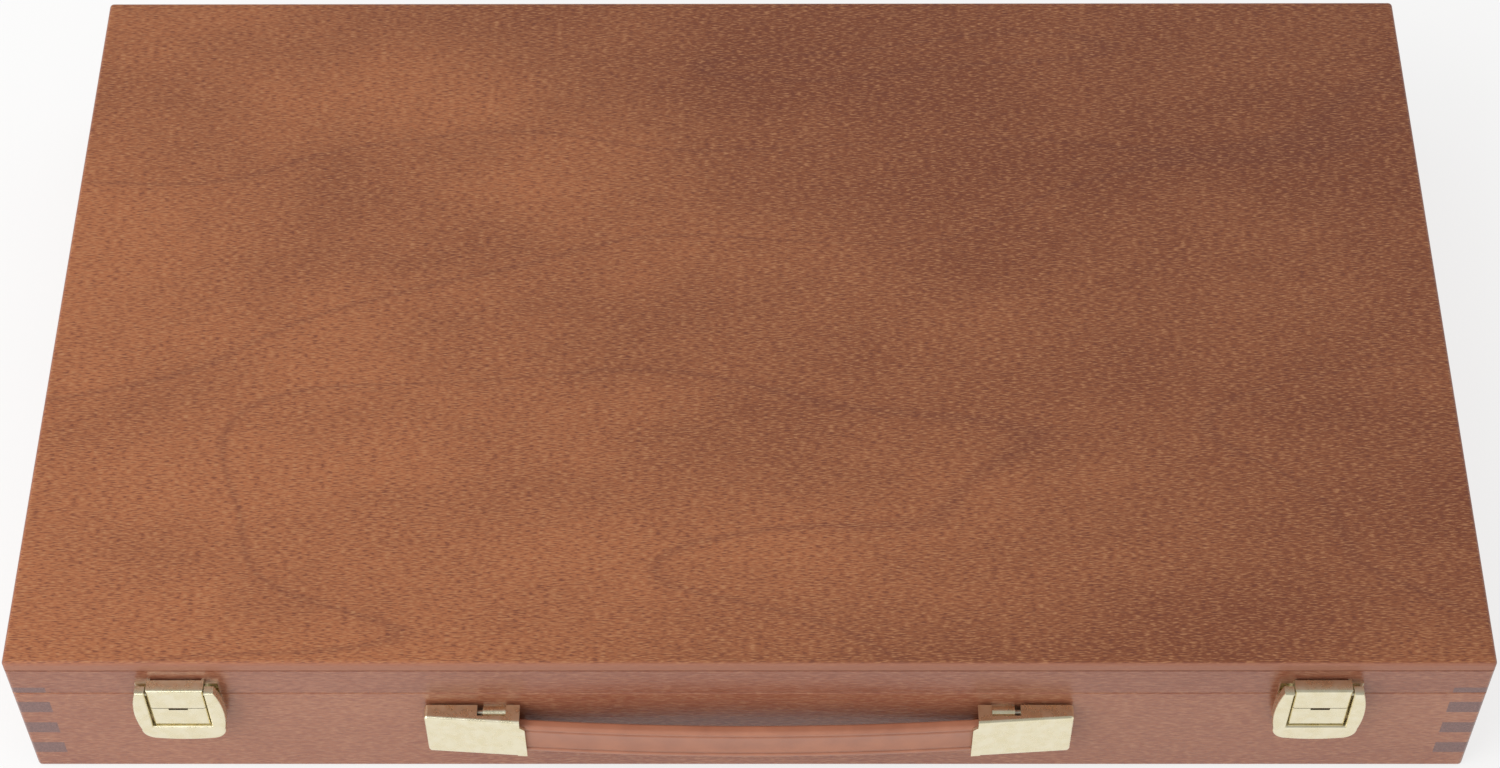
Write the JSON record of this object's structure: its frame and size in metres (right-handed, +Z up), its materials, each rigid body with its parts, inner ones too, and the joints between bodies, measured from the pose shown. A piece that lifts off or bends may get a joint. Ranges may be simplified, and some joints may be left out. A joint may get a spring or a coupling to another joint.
{
  "type": "wooden oil paint box",
  "caption": "Flat finger-jointed wooden paint box with a hinged lid, two bail latches, a strap handle, divided trays and a palette in the lid.",
  "frame": {"origin": "centre of the wooden box's underside, on the surface it rests on", "axes": "+X along the front to the right as seen from the front, +Y from front to back, +Z up"},
  "size_m": [0.4, 0.2482, 0.055],
  "materials": {
    "stained_wood": "satin varnish over stain",
    "top_veneer": "satin varnish over stain",
    "plywood": "sanded and sealed plywood",
    "palette_wood": "oiled plywood",
    "brass_plate": "satin brass plate",
    "brass_screw": "brass plate",
    "steel_pin": "drawn wire",
    "strap": "moulded, satin"
  },
  "bodies": {
    "base": {"base_front_board": "stained_wood", "base_back_board": "stained_wood", "base_left_board": "stained_wood", "base_right_board": "stained_wood", "base_bottom_panel": "plywood", "long_divider_front": "plywood", "long_divider_back": "plywood", "cross_divider_left": "plywood", "cross_divider_right": "plywood", "cross_divider_middle": "plywood", "hinge_base_leaf_left": "brass_plate", "hinge_base_leaf_right": "brass_plate", "hinge_pin_left": "steel_pin", "hinge_pin_right": "steel_pin", "hinge_base_screws": "brass_screw", "latch_base_plate_left": "brass_plate", "latch_base_plate_right": "brass_plate", "latch_base_screws": "brass_screw", "handle_mount_left": "brass_plate", "handle_mount_right": "brass_plate", "handle_screws": "brass_screw"},
    "lid": {"lid_front_rail": "stained_wood", "lid_back_rail": "stained_wood", "lid_left_rail": "stained_wood", "lid_right_rail": "stained_wood", "lid_top_panel": "top_veneer", "palette": "palette_wood", "palette_spacer_left": "plywood", "palette_spacer_right": "plywood", "palette_block_left": "plywood", "palette_block_right": "plywood", "turn_button_screws": "brass_screw", "hinge_lid_leaf_left": "brass_plate", "hinge_lid_leaf_right": "brass_plate", "hinge_lid_screws": "brass_screw", "latch_lid_plate_left": "brass_plate", "latch_lid_plate_right": "brass_plate", "latch_lid_screws": "brass_screw", "latch_pin_left": "steel_pin", "latch_pin_right": "steel_pin"},
    "handle": {"handle_strap": "strap", "handle_cap_left": "brass_plate", "handle_cap_right": "brass_plate", "handle_pin_left": "steel_pin", "handle_pin_right": "steel_pin"},
    "latch_left": {"latch_bail_left": "brass_plate"},
    "latch_right": {"latch_bail_right": "brass_plate"},
    "button_left": {"turn_button_left": "brass_plate"},
    "button_right": {"turn_button_right": "brass_plate"}
  },
  "joints": [
    {"name": "lid_hinge", "type": "hinge", "parent": "base", "child": "lid", "pos_m": [0, 0.1175, 0.0395], "axis": [-1, 0, 0], "range_deg": [0, 100]},
    {"name": "handle_swing", "type": "hinge", "parent": "base", "child": "handle", "pos_m": [0, -0.1224, 0.0332], "axis": [-1, 0, 0], "range_deg": [0, 90]},
    {"name": "latch_swing_left", "type": "hinge", "parent": "lid", "child": "latch_left", "pos_m": [-0.1543, -0.1236, 0.0454], "axis": [-1, 0, 0], "range_deg": [0, 120]},
    {"name": "latch_swing_right", "type": "hinge", "parent": "lid", "child": "latch_right", "pos_m": [0.1543, -0.1236, 0.0454], "axis": [-1, 0, 0], "range_deg": [0, 120]},
    {"name": "button_turn_left", "type": "hinge", "parent": "lid", "child": "button_left", "pos_m": [-0.18575, 0, 0.044], "axis": [0, 0, 1], "range_deg": [-90, 90]},
    {"name": "button_turn_right", "type": "hinge", "parent": "lid", "child": "button_right", "pos_m": [0.18575, 0, 0.044], "axis": [0, 0, 1], "range_deg": [-90, 90]}
  ]
}
